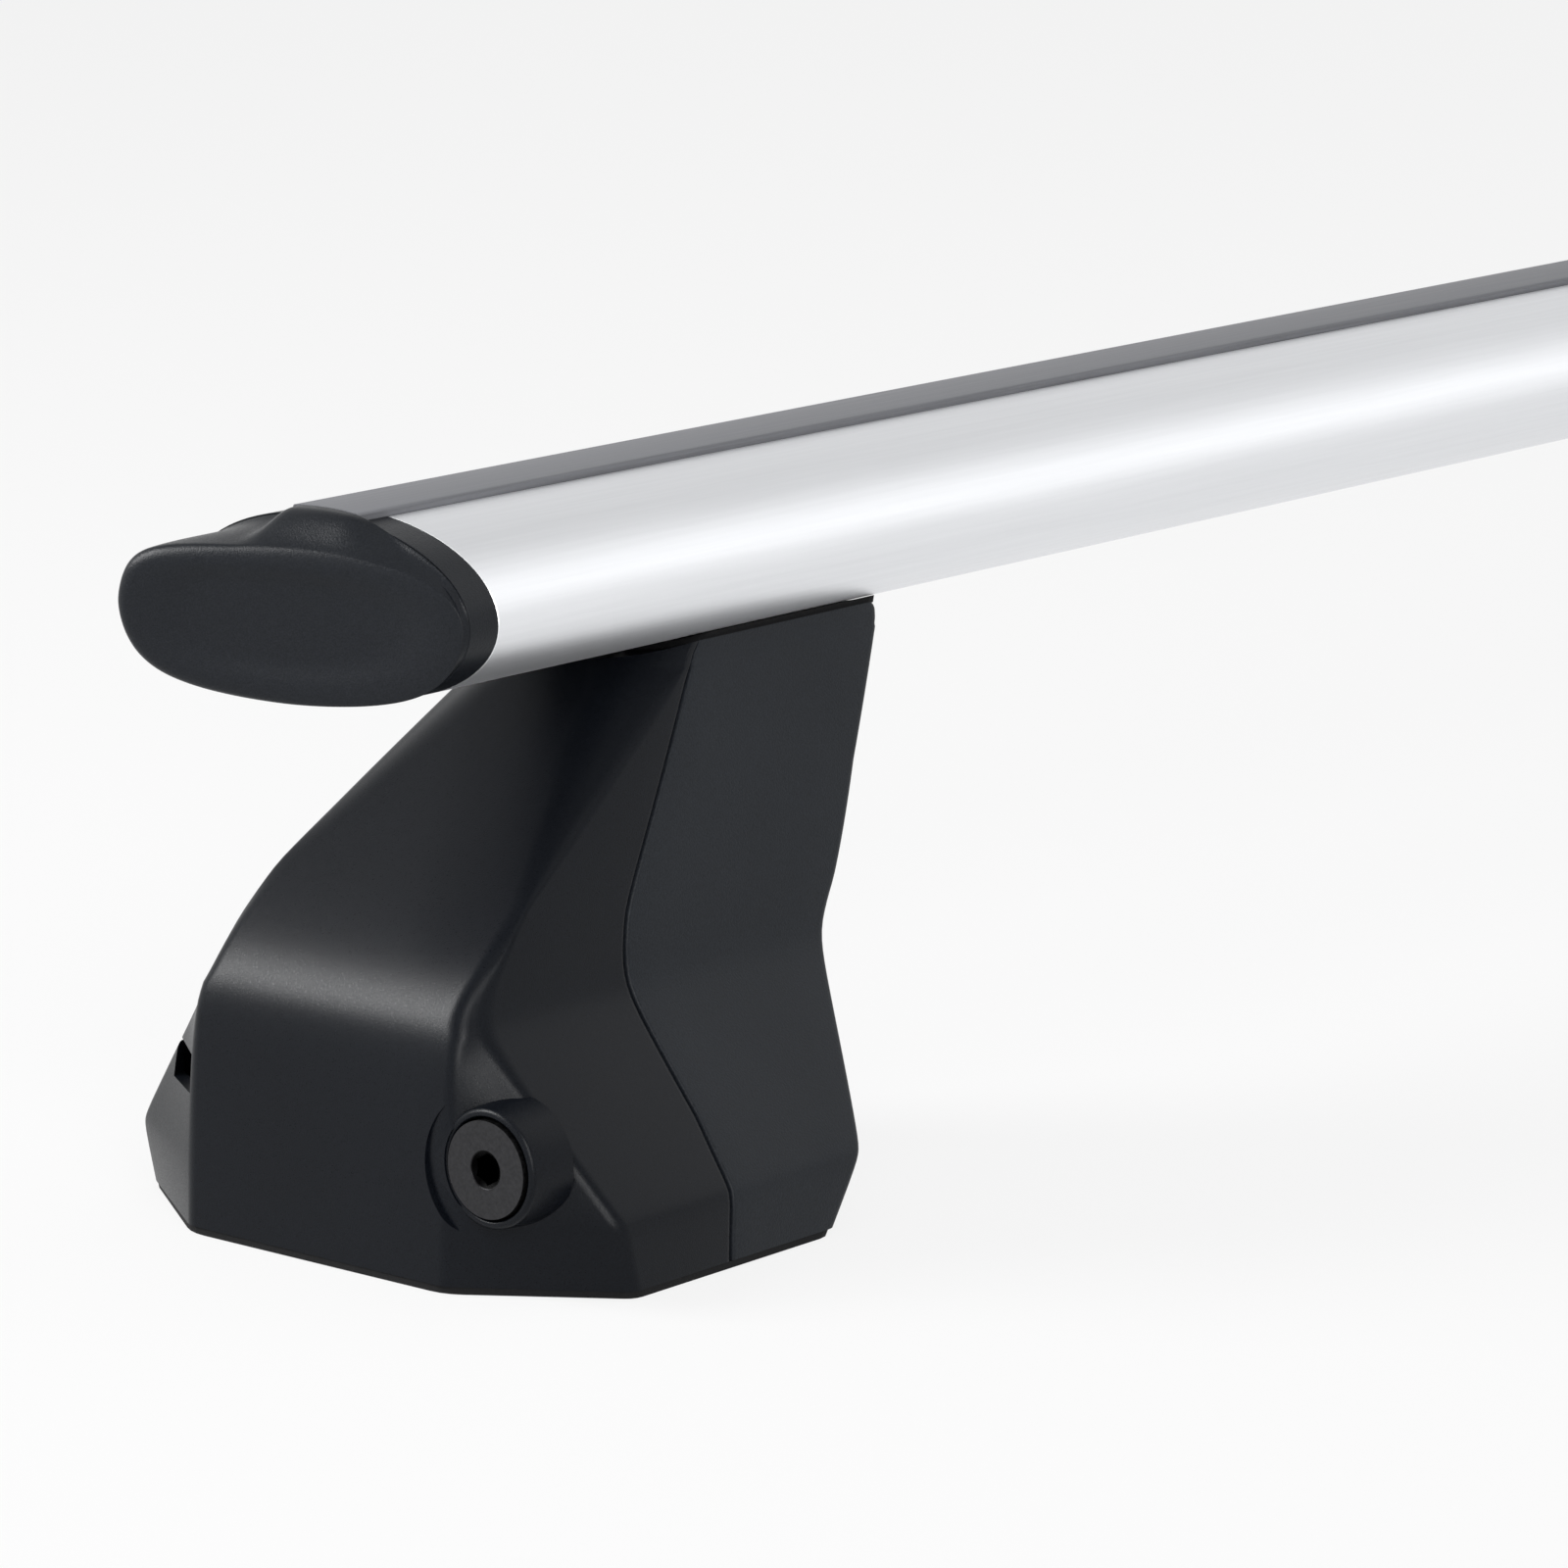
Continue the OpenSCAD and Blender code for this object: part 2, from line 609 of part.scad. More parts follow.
// The clamp bolt, with a hex socket in its flat round head
module clamp_bolt() {
    color([0.30, 0.31, 0.31]) difference() {
        union() {
            bolt_rod(head_dia / 2, head_x, head_x + head_length - seat_gap);
            bolt_rod(thread_dia / 2, head_x + 2, bolt_end);
        }
        translate([head_x - 1, bolt_y, bolt_z]) rotate([0, 90, 0])
            cylinder(r = socket_flats / sqrt(3), h = 6, $fn = 6);
        translate([head_x, bolt_y, bolt_z]) rotate([0, 90, 0])
            cylinder(r1 = socket_flats / sqrt(3) + 0.7, r2 = socket_flats / 2, h = 1, $fn = 64);
    }
}

// The threaded block that the bolt draws along the bracket
module clamp_block() {
    color([0.50, 0.50, 0.51]) difference() {
        union() {
            bolt_rod(block_r, block_x - block_length / 2, block_x + block_length / 2);
            translate([block_x - block_length / 2, bolt_y, deck_z + deck_thick + slide_gap])
                cube([block_length, -plate_y - slide_gap - bolt_y, bolt_z - deck_z - deck_thick + block_r]);
            translate([block_x - block_length / 2, bolt_y - tongue / 2, pad_thick + 1])
                cube([block_length, tongue, bolt_z - pad_thick - 1]);
        }
        bolt_rod(thread_dia / 2 + run_gap, block_x - block_length, block_x + block_length);
    }
}

// The retaining clip that keeps the clamp bolt in the cover's boss
module bolt_clip() {
    color([0.25, 0.25, 0.26]) difference() {
        bolt_rod(thread_dia / 2 + clip_rim, clip_x, clip_x + clip_thick);
        bolt_rod(thread_dia / 2 + run_gap, clip_x - 1, clip_x + clip_thick + 1);
    }
}

crossbar();
slot_strip();
at_left() end_collar();  // end_collar_left
at_left() end_cap();  // end_cap_left
at_left() foot_housing();  // foot_housing_left
at_left() foot_cover();  // foot_cover_left
at_left() saddle_gasket();  // saddle_gasket_left
at_left() base_pad();  // base_pad_left
at_left() foot_bracket();  // foot_bracket_left
at_left() bar_bolts();  // bar_bolts_left
at_left() bar_nuts();  // bar_nuts_left
at_left() bolt_spacer();  // bolt_spacer_left
at_left() clamp_bolt();  // clamp_bolt_left
at_left() clamp_block();  // clamp_block_left
at_left() bolt_clip();  // bolt_clip_left
at_right() end_collar();  // end_collar_right
at_right() end_cap();  // end_cap_right
at_right() foot_housing();  // foot_housing_right
at_right() foot_cover();  // foot_cover_right
at_right() saddle_gasket();  // saddle_gasket_right
at_right() base_pad();  // base_pad_right
at_right() foot_bracket();  // foot_bracket_right
at_right() bar_bolts();  // bar_bolts_right
at_right() bar_nuts();  // bar_nuts_right
at_right() bolt_spacer();  // bolt_spacer_right
at_right() clamp_bolt();  // clamp_bolt_right
at_right() clamp_block();  // clamp_block_right
at_right() bolt_clip();  // bolt_clip_right
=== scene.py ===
"""Dresses the roof rack crossbar: surfaces, finishes, light and camera. Lengths named in mm are turned
into metres by MM. The end frame has x = 0 at the bar's cut end and x growing along the bar."""

import math

import bmesh
import bpy
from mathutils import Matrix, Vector


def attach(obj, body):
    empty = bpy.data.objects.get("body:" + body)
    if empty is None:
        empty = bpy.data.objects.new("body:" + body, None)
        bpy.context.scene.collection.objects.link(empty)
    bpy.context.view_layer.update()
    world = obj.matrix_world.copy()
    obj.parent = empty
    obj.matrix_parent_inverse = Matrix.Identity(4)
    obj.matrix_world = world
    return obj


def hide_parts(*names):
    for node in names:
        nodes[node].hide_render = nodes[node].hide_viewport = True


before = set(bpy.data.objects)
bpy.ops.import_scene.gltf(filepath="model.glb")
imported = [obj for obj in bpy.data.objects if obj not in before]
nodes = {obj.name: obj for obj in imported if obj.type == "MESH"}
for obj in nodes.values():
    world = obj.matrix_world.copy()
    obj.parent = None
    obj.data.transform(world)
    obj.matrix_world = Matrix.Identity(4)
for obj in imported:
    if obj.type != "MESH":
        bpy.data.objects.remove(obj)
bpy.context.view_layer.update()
SIDES = ("left", "right")
MM = 0.001

# Sizes of the bar, as in the part's source
BAR_A, BAR_B = 40.0, 19.6
BAR_Z = 138.9
BAR_LENGTH = 1206.0
WALL, LIP = 2.0, 2.6
SEAT_Z = 18.2
TOP_MOUTH, TOP_CHAMBER, TOP_DEPTH = 12.0, 24.0, 8.0
LOW_MOUTH, LOW_CHAMBER, LOW_DEPTH = 11.0, 22.0, 7.0
STRIP_WIDTH, STRIP_RISE = 18.5, 2.9
SEAT_CLEAR = 0.1

# Sizes of the end cap
COLLAR = 8.5
CAP_SHORT, CAP_LONG = 1.8, 23.5
CAP_GAP = 0.1
CAP_FALL, CAP_BEAD, CAP_INSET = 6.0, 3.4, 0.6
CAP_DISH, CAP_WALL, CAP_BACK = 1.1, 1.6, 0.1

# Sizes of the foot
FOOT_HEIGHT = 119.3
BASE_HALF, WAIST_HALF, TOP_HALF = 69.5, 37.0, 25.5
WAIST_Z, SKIRT_Z, FLARE = 66.0, 16.0, 0.82
FACE_HALF, FACET_MIN, FACET_BEND, FACET_Z = 36.7, 3.0, 1.2, 76.0
FACET_LOW, FACET_HIGH = 0.3, 0.22
FRONT_TOP, FRONT_SLOPE, FRONT_REACH, FACE_LEAN, BEND = 67.7, 1.33, 15.3, 0.03, 11.0
BACK_TOP, BACK_BASE, BELLY, BELLY_Z = 141.2, 72.0, 2.0, 90.0
SEAM_X0, SEAM_TOP, SEAM_SLOPE, SEAM_BEND = 41.0, 77.9, 0.74, 4.0
SEAM_CURL, SEAM_CURL_Z, SEAM_GAP = 2.5, 30.0, 0.5
FOOT_WALL, GASKET_GAP, PAD = 3.0, 1.8, 1.6
RIDGE_SOFT, COVER_LIP, HOUSING_LIP = 2.6, 1.5, 0.8
BAND, BAND_INSET = 5.2, 0.3
BOLT_Y, BOLT_Z, HEAD_R = -46.9, 28.0, 10.4
SOCKET_R0, SOCKET_R1 = 3.9, 4.3
RECESS_R, RECESS_END = HEAD_R + 5.8, -12.8
BORE_R, BORE_END = HEAD_R + 1.2, -1.5
BOSS_X, BOSS_END, BOSS_R, BOSS_BASE_R = -12.4, -1.0, 12.8, 13.6
WINDOW_WIDE, WINDOW_HIGH, WINDOW_Y, WINDOW_Z = 10.5, 8.4, 43.2, 34.2
CUT_FROM, SPLAY_X = -40, -12


def clamped(t):
    return min(1.0, max(0.0, t))


def smooth(t):
    u = clamped(t)
    return u * u * (3 - 2 * u)


def soft_max(a, b, w):
    return (a + b + math.hypot(a - b, w)) / 2


def soft_min(a, b, w):
    return (a + b - math.hypot(a - b, w)) / 2


def placed(side, p):
    """A point of the end frame, in mm, as a point of the row frame, in metres."""
    x, y, z = p[0] - BAR_LENGTH / 2, p[1], p[2]
    return Vector((x, y, z)) * MM if side == "left" else Vector((-x, -y, z)) * MM


# Meshes
def make_object(name, verts, faces, sharp=35.0):
    mesh = bpy.data.meshes.new(name)
    mesh.from_pydata([tuple(v) for v in verts], [], faces)
    obj = bpy.data.objects.new(name, mesh)
    bpy.context.scene.collection.objects.link(obj)
    tidy_mesh(mesh, sharp)
    return obj


def tidy_mesh(mesh, sharp=35.0, weld=0.000002):
    bm = bmesh.new()
    bm.from_mesh(mesh)
    bmesh.ops.remove_doubles(bm, verts=bm.verts, dist=weld)
    bmesh.ops.recalc_face_normals(bm, faces=bm.faces)
    bm.to_mesh(mesh)
    bm.free()
    mesh.polygons.foreach_set("use_smooth", [True] * len(mesh.polygons))
    mesh.set_sharp_from_angle(angle=math.radians(sharp))


def applied(obj, sharp=35.0):
    """Turns the object's modifiers into its mesh."""
    bpy.context.view_layer.update()
    graph = bpy.context.evaluated_depsgraph_get()
    mesh = bpy.data.meshes.new_from_object(obj.evaluated_get(graph))
    obj.modifiers.clear()
    obj.data = mesh
    tidy_mesh(mesh, sharp)
    return obj


def thickened(obj, mm):
    """Gives a skin its wall, inwards."""
    m = obj.modifiers.new("wall", "SOLIDIFY")
    m.thickness = mm * MM
    m.offset = -1
    m.use_even_offset = True
    return applied(obj)


def edged(obj, mm, segments=2, angle=32.0):
    """Rounds the object's sharp edges."""
    m = obj.modifiers.new("edges", "BEVEL")
    m.width = mm * MM
    m.segments = segments
    m.limit_method = "ANGLE"
    m.angle_limit = math.radians(angle)
    m.harden_normals = False
    return obj


def cut(obj, *cutters):
    """Takes the cutters away from the object."""
    for cutter in cutters:
        m = obj.modifiers.new("cut", "BOOLEAN")
        m.operation = "DIFFERENCE"
        m.solver = "EXACT"
        m.object = cutter
    applied(obj)
    for cutter in cutters:
        bpy.data.objects.remove(cutter)
    return obj


def joined(obj, *others):
    """Adds the others' meshes to the object's."""
    bm = bmesh.new()
    for o in (obj, *others):
        bm.from_mesh(o.data)
    bm.to_mesh(obj.data)
    bm.free()
    for o in others:
        bpy.data.objects.remove(o)
    tidy_mesh(obj.data)
    return obj


def strip_faces(rows, columns, closed=False):
    """Quads between rows of a grid."""
    last = columns if closed else columns - 1
    return [
        (i * columns + j, i * columns + (j + 1) % columns,
         (i + 1) * columns + (j + 1) % columns, (i + 1) * columns + j)
        for i in range(rows - 1) for j in range(last)
    ]


def prism(name, profile, x0, x1, place, ends=True):
    """A profile of (y, z) points along x."""
    n = len(profile)
    verts = [place((x, y, z)) for x in (x0, x1) for y, z in profile]
    faces = strip_faces(2, n, closed=True)
    if ends:
        faces += [tuple(range(n)), tuple(range(n, 2 * n))]
    return make_object(name, verts, faces)


def revolved(name, profile, place, steps=96):
    """A closed profile of (x, radius) points turned round the clamp bolt's axis."""
    verts = []
    for i in range(steps):
        t = 2 * math.pi * i / steps
        verts += [place((x, BOLT_Y + r * math.cos(t), BOLT_Z + r * math.sin(t))) for x, r in profile]
    n = len(profile)
    faces = []
    for i in range(steps):
        k = (i + 1) % steps
        faces += [(i * n + j, i * n + (j + 1) % n, k * n + (j + 1) % n, k * n + j) for j in range(n)]
    return make_object(name, verts, faces)


def rod(name, r, x0, x1, place, steps=96):
    """A solid cylinder on the clamp bolt's axis."""
    verts = []
    for x in (x0, x1):
        for i in range(steps):
            t = 2 * math.pi * i / steps
            verts.append(place((x, BOLT_Y + r * math.cos(t), BOLT_Z + r * math.sin(t))))
    faces = strip_faces(2, steps, closed=True) + [tuple(range(steps)), tuple(range(steps, 2 * steps))]
    return make_object(name, verts, faces)


def block(name, low, high, place):
    """A box between two corners."""
    verts = [place((x, y, z)) for x in (low[0], high[0]) for y in (low[1], high[1]) for z in (low[2], high[2])]
    faces = [(0, 1, 3, 2), (4, 6, 7, 5), (0, 4, 5, 1), (2, 3, 7, 6), (0, 2, 6, 4), (1, 5, 7, 3)]
    return make_object(name, verts, faces)


# Materials
def material(name, colour, rough, metallic=0.0, specular=0.5):
    """A principled material with its nodes at hand."""
    mat = bpy.data.materials.new(name)
    mat.use_nodes = True
    shader = mat.node_tree.nodes["Principled BSDF"]
    shader.inputs["Base Color"].default_value = (*colour, 1)
    shader.inputs["Roughness"].default_value = rough
    shader.inputs["Metallic"].default_value = metallic
    shader.inputs["Specular IOR Level"].default_value = specular
    return mat, mat.node_tree, shader


def noise(tree, scale, detail=3.0, stretch=(1, 1, 1)):
    """A noise texture on object coordinates, stretched along the axes."""
    place = tree.nodes.new("ShaderNodeTexCoord")
    mapping = tree.nodes.new("ShaderNodeMapping")
    mapping.inputs["Scale"].default_value = stretch
    texture = tree.nodes.new("ShaderNodeTexNoise")
    texture.inputs["Scale"].default_value = scale
    texture.inputs["Detail"].default_value = detail
    tree.links.new(place.outputs["Object"], mapping.inputs["Vector"])
    tree.links.new(mapping.outputs["Vector"], texture.inputs["Vector"])
    return texture.outputs["Fac"]


def ramp(tree, value, low, high, from_low=0.3, from_high=0.7):
    """Maps a value to a range."""
    node = tree.nodes.new("ShaderNodeMapRange")
    node.inputs["From Min"].default_value = from_low
    node.inputs["From Max"].default_value = from_high
    node.inputs["To Min"].default_value = low
    node.inputs["To Max"].default_value = high
    tree.links.new(value, node.inputs["Value"])
    return node.outputs["Result"]


def tint(tree, value, low, high, from_low=0.3, from_high=0.7):
    """Maps a value to a colour between two colours."""
    node = tree.nodes.new("ShaderNodeValToRGB")
    node.color_ramp.elements[0].position = from_low
    node.color_ramp.elements[1].position = from_high
    node.color_ramp.elements[0].color = (*low, 1)
    node.color_ramp.elements[1].color = (*high, 1)
    tree.links.new(value, node.inputs["Fac"])
    return node.outputs["Color"]


def bump(tree, shader, value, strength, depth_mm):
    node = tree.nodes.new("ShaderNodeBump")
    node.inputs["Strength"].default_value = strength
    node.inputs["Distance"].default_value = depth_mm * MM
    tree.links.new(value, node.inputs["Height"])
    tree.links.new(node.outputs["Normal"], shader.inputs["Normal"])


def grained_plastic(name, dark, pale, rough, grain, depth, specular):
    """Moulded plastic with a fine grain and faint cloudy variation."""
    mat, tree, shader = material(name, dark, rough, specular=specular)
    clouds, fine = noise(tree, 28, 4), noise(tree, grain, 2)
    both = tree.nodes.new("ShaderNodeMath")
    both.operation = "MULTIPLY_ADD"
    both.inputs[1].default_value = 0.4
    tree.links.new(clouds, both.inputs[0])
    tree.links.new(ramp(tree, fine, 0.0, 0.6), both.inputs[2])
    tree.links.new(tint(tree, both.outputs[0], dark, pale, 0.1, 0.9), shader.inputs["Base Color"])
    tree.links.new(ramp(tree, fine, rough - 0.06, rough + 0.08), shader.inputs["Roughness"])
    bump(tree, shader, fine, 0.8, depth)
    return mat


def anodised_aluminium():
    """Satin aluminium, drawn lengthwise."""
    mat, tree, shader = material("anodised_aluminium", (0.80, 0.81, 0.83), 0.46, metallic=1.0)
    drawn = noise(tree, 900, 3, stretch=(0.02, 1, 1))
    specks = noise(tree, 5200, 2)
    tree.links.new(tint(tree, drawn, (0.79, 0.80, 0.82), (0.82, 0.83, 0.85)), shader.inputs["Base Color"])
    tree.links.new(ramp(tree, specks, 0.42, 0.50), shader.inputs["Roughness"])
    bump(tree, shader, specks, 0.35, 0.03)
    return mat


def strip_rubber():
    """Dark blue-grey rubber with fine extrusion streaks."""
    mat, tree, shader = material("strip_rubber", (0.12, 0.125, 0.14), 0.5, specular=0.35)
    streaks = noise(tree, 1500, 4, stretch=(0.012, 1, 1))
    tree.links.new(tint(tree, streaks, (0.090, 0.092, 0.100), (0.135, 0.138, 0.150)), shader.inputs["Base Color"])
    tree.links.new(ramp(tree, streaks, 0.42, 0.6), shader.inputs["Roughness"])
    bump(tree, shader, streaks, 0.4, 0.05)
    return mat


def painted_socket_shade(tree, colour):
    """Paints shade into a colour inside the clamp bolt's hex socket, at either end, darkening the recess."""
    place = tree.nodes.new("ShaderNodeTexCoord")
    either_end = tree.nodes.new("ShaderNodeVectorMath")
    either_end.operation = "ABSOLUTE"
    flat = tree.nodes.new("ShaderNodeVectorMath")
    flat.operation = "MULTIPLY"
    flat.inputs[1].default_value = (0, 1, 1)
    away = tree.nodes.new("ShaderNodeVectorMath")
    away.operation = "DISTANCE"
    away.inputs[1].default_value = (0, abs(BOLT_Y) * MM, BOLT_Z * MM)
    shade = tree.nodes.new("ShaderNodeVectorMath")
    shade.operation = "SCALE"
    tree.links.new(place.outputs["Object"], either_end.inputs[0])
    tree.links.new(either_end.outputs[0], flat.inputs[0])
    tree.links.new(flat.outputs[0], away.inputs[0])
    tree.links.new(colour, shade.inputs[0])
    # painted shade: the colour falls to 3% inside the socket's radius
    tree.links.new(ramp(tree, away.outputs["Value"], 0.03, 1.0, SOCKET_R0 * MM, SOCKET_R1 * MM), shade.inputs["Scale"])
    return shade.outputs[0]


def metal(name, colour, rough, scale=1400, painted_shade_in_socket=False):
    """Bare or coated steel with fine mottling, and painted shade inside the clamp bolt's hex socket when asked for."""
    mat, tree, shader = material(name, colour, rough, metallic=1.0)
    mottle = noise(tree, scale, 4)
    paler = tuple(min(1.0, c * 1.25) for c in colour)
    shown = tint(tree, mottle, colour, paler)
    tree.links.new(painted_socket_shade(tree, shown) if painted_shade_in_socket else shown, shader.inputs["Base Color"])
    tree.links.new(ramp(tree, mottle, rough - 0.06, rough + 0.1), shader.inputs["Roughness"])
    bump(tree, shader, mottle, 0.3, 0.03)
    return mat


ALUMINIUM = anodised_aluminium()
STRIP = strip_rubber()
CAP = grained_plastic("cap_plastic", (0.0050, 0.0060, 0.0078), (0.0098, 0.0112, 0.0140), 0.34, 2600, 0.07, 0.14)
HOUSING = grained_plastic("foot_plastic", (0.0060, 0.0074, 0.0096), (0.0130, 0.0152, 0.0190), 0.44, 2200, 0.09, 0.15)
COVER = grained_plastic("cover_plastic", (0.0016, 0.0022, 0.0036), (0.0040, 0.0051, 0.0074), 0.33, 3200, 0.04, 0.125)
PAD_RUBBER = grained_plastic("pad_rubber", (0.005, 0.005, 0.0055), (0.009, 0.009, 0.0095), 0.7, 1500, 0.08, 0.12)
COATED = metal("coated_steel", (0.34, 0.34, 0.35), 0.42, 700)
ZINC = metal("zinc_steel", (0.52, 0.52, 0.53), 0.32)
# the bolt steel gets painted shade inside its hex socket
DARK_STEEL = metal("dark_steel", (0.034, 0.034, 0.036), 0.42, painted_shade_in_socket=True)


def dress(obj, mat, body=None, replaced=()):
    """Sets a piece's finish and what carries it."""
    obj.data.materials.clear()
    obj.data.materials.append(mat)
    if body:
        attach(obj, body)
    if replaced:
        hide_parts(*replaced)
    return obj


# Bar
def oval(a, b, steps=240):
    return [(a * math.cos(2 * math.pi * i / steps), b * math.sin(2 * math.pi * i / steps)) for i in range(steps)]


def raised(points):
    return [(y, z + BAR_Z) for y, z in points]


def outer_profile():
    """The bar's outside, with the strip's seat, the top slot and the lower channel as one open loop."""
    top_roof = SEAT_Z - LIP
    low_floor = -BAR_B + LIP
    seat = STRIP_WIDTH / 2 + SEAT_CLEAR
    t0 = math.acos(seat / BAR_A)
    if BAR_B * math.sin(t0) < SEAT_Z:
        t0 = min(t0, math.asin(SEAT_Z / BAR_B))
    points = [(seat, SEAT_Z)]
    t1 = -math.acos(LOW_MOUTH / 2 / BAR_A)
    steps = 120
    points += [
        (BAR_A * math.cos(t0 + (t1 - t0) * i / steps), BAR_B * math.sin(t0 + (t1 - t0) * i / steps))
        for i in range(steps + 1)
    ]
    points += [
        (LOW_MOUTH / 2, low_floor), (LOW_CHAMBER / 2, low_floor), (LOW_CHAMBER / 2, low_floor + LOW_DEPTH),
    ]
    left = [(-y, z) for y, z in reversed(points)]
    slot = [
        (-TOP_MOUTH / 2, SEAT_Z), (-TOP_MOUTH / 2, top_roof), (-TOP_CHAMBER / 2, top_roof),
        (-TOP_CHAMBER / 2, top_roof - TOP_DEPTH), (TOP_CHAMBER / 2, top_roof - TOP_DEPTH),
        (TOP_CHAMBER / 2, top_roof), (TOP_MOUTH / 2, top_roof), (TOP_MOUTH / 2, SEAT_Z),
    ]
    return points + left + slot


def side_hollow(s):
    """The hollow beside the slots."""
    a, b = BAR_A - WALL, BAR_B - WALL
    y0 = TOP_CHAMBER / 2 + WALL
    t0 = math.acos(y0 / a)
    return [(s * a * math.cos(t0 - 2 * t0 * i / 60), b * math.sin(t0 - 2 * t0 * i / 60)) for i in range(61)]


def middle_hollow():
    """The hollow between the top slot and the lower channel."""
    z1 = SEAT_Z - LIP - TOP_DEPTH - WALL
    z0 = -BAR_B + LIP + LOW_DEPTH + WALL
    return [(8, z0), (8, z1), (-8, z1), (-8, z0)]


def add_crossbar():
    half = BAR_LENGTH / 2
    place = lambda p: Vector(p) * MM
    solid = prism("bar_extrusion", raised(outer_profile()), -half, half, place)
    holes = [prism("h", raised(side_hollow(s)), -half - 5, half + 5, place) for s in (-1, 1)]
    holes.append(prism("h", raised(middle_hollow()), -half - 5, half + 5, place))
    cut(solid, *holes)
    edged(solid, 0.35)
    dress(solid, ALUMINIUM, "bar", ["crossbar"])


def strip_profile():
    w = STRIP_WIDTH / 2
    m = TOP_MOUTH / 2 - 0.1
    crown = SEAT_Z + STRIP_RISE
    top_roof = SEAT_Z - LIP
    half = [(w * i / 14, crown - 0.45 * (i / 14) ** 2) for i in range(14)]
    half += [(w - 0.25, crown - 0.5), (w, crown - 0.8), (w, SEAT_Z + 0.35), (w - 0.35, SEAT_Z)]
    half += [(m, SEAT_Z), (m, top_roof), (m + 1.6, top_roof - 0.1), (m - 1.6, top_roof - 2.6)]
    half += [(m - 3.2, top_roof - 2.6), (m - 3.2, SEAT_Z - 1.3)]
    return half + [(-y, z) for y, z in reversed(half[1:])]


def add_strip():
    half = BAR_LENGTH / 2 + COLLAR
    obj = prism("top_strip", raised(strip_profile()), -half, half, lambda p: Vector(p) * MM)
    dress(obj, STRIP, "bar", ["slot_strip"])


# End caps
def cap_front(y):
    return -COLLAR - CAP_SHORT - (CAP_LONG - CAP_SHORT) * (y + BAR_A) / (2 * BAR_A)


def corner_power(t):
    """How square the cap's outline is at angle t, above the oval's 2."""
    q = int((t % (2 * math.pi)) // (math.pi / 2))
    return (1.5, 0.25, 0.5, 0.6)[q] * abs(math.sin(2 * t))


def signed_power(v, p):
    return math.copysign(abs(v) ** p, v)


def cap_point(t, u, inset, sink, w=0.0):
    """A point of the cap's outside: angle t, stage u to the front, moved in by inset and back by sink."""
    n = 2 + corner_power(t) * smooth(u)
    a = BAR_A - CAP_INSET * u - inset - w
    up = BAR_B - CAP_FALL * clamped(u) ** 0.6 - inset - w
    down = BAR_B - 1.1 * u - inset - w
    y = a * signed_power(math.cos(t), 2 / n)
    side = math.sin(t)
    z = (up if side > 0 else down) * signed_power(side, 2 / n)
    hump = (1.7 + 18 * clamped(u)) * (1 - clamped(u)) ** 2 if side > 0 else 0
    z += hump * (smooth((14 - y) / 7) if y > 0 else smooth((23 + y) / 15))
    reach = -COLLAR - CAP_GAP - cap_front(y)
    x = -COLLAR - CAP_GAP - u * reach
    return (x + CAP_BACK * clamped(u) + sink * min(1.0, reach / 6), y, BAR_Z + z)


def add_cap(side):
    place = lambda p: placed(side, p)
    steps, body_rows, bead_rows, face_rows = 180, 22, 9, 14
    rows = [(0.0, 0.35, 0.0)]
    rows += [(0.02 + 0.86 * i / body_rows, 0.0, 0.0) for i in range(body_rows + 1)]
    verts = []
    for u, inset, sink in rows:
        verts += [place(cap_point(2 * math.pi * j / steps, u, inset, sink)) for j in range(steps)]
    for i in range(1, bead_rows + 1):
        phi = math.pi / 2 * i / bead_rows
        u = 0.88 + 0.12 * math.sin(phi)
        inset = CAP_BEAD * (1 - math.cos(phi))
        verts += [place(cap_point(2 * math.pi * j / steps, u, inset, 0)) for j in range(steps)]
    rim = [cap_point(2 * math.pi * j / steps, 1.0, CAP_BEAD, 0) for j in range(steps)]
    for i in range(1, face_rows + 1):
        k = 1 - i / face_rows
        sink = CAP_DISH * smooth((1 - k) * 2.6)
        for _, y, z in rim:
            yy, zz = y * k, BAR_Z + (z - BAR_Z) * k
            verts.append(place((cap_front(yy) + CAP_BACK + sink, yy, zz)))
    total = len(rows) + bead_rows + face_rows
    obj = make_object(f"cap_{side}", verts, strip_faces(total, steps, closed=True))
    thickened(obj, CAP_WALL)
    obj.data.set_sharp_from_angle(angle=math.radians(50))
    dress(obj, CAP, f"cap_{side}", [f"end_cap_{side}"])


def add_collar(side):
    """The flush band between the bar and the cap."""
    place = lambda p: placed(side, p)
    steps = 240
    rows = [(-0.02, 2.6), (-0.02, 0.2), (-0.25, 0.0), (-COLLAR + 0.25, 0.0), (-COLLAR, 0.25), (-COLLAR, 2.6)]
    verts = []
    for x, inset in rows:
        verts += [place((x, y, z + BAR_Z)) for y, z in oval(BAR_A - inset, BAR_B - inset, steps)]
    faces = strip_faces(len(rows), steps, closed=True)
    faces += [((len(rows) - 1) * steps + j, (len(rows) - 1) * steps + (j + 1) % steps, (j + 1) % steps, j)
              for j in range(steps)]
    band = make_object(f"collar_{side}", verts, faces)
    seat = STRIP_WIDTH / 2 + SEAT_CLEAR
    cut(band, block("c", (-COLLAR - 5, -seat, BAR_Z + SEAT_Z), (5, seat, BAR_Z + BAR_B + 5), place))
    dress(band, CAP, "bar")
    dress(nodes[f"end_collar_{side}"], CAP)


# Foot
def half_at(z):
    upper = WAIST_HALF - (WAIST_HALF - TOP_HALF) * clamped((z - WAIST_Z) / (FOOT_HEIGHT - WAIST_Z)) ** 1.25
    flare = BASE_HALF - FLARE * (z - SKIRT_Z)
    return soft_min(soft_max(upper, flare, 4), BASE_HALF, 1.5)


def front_at(z):
    return soft_max(-FRONT_REACH + FACE_LEAN * z, FRONT_TOP + FRONT_SLOPE * (z - FOOT_HEIGHT), BEND)


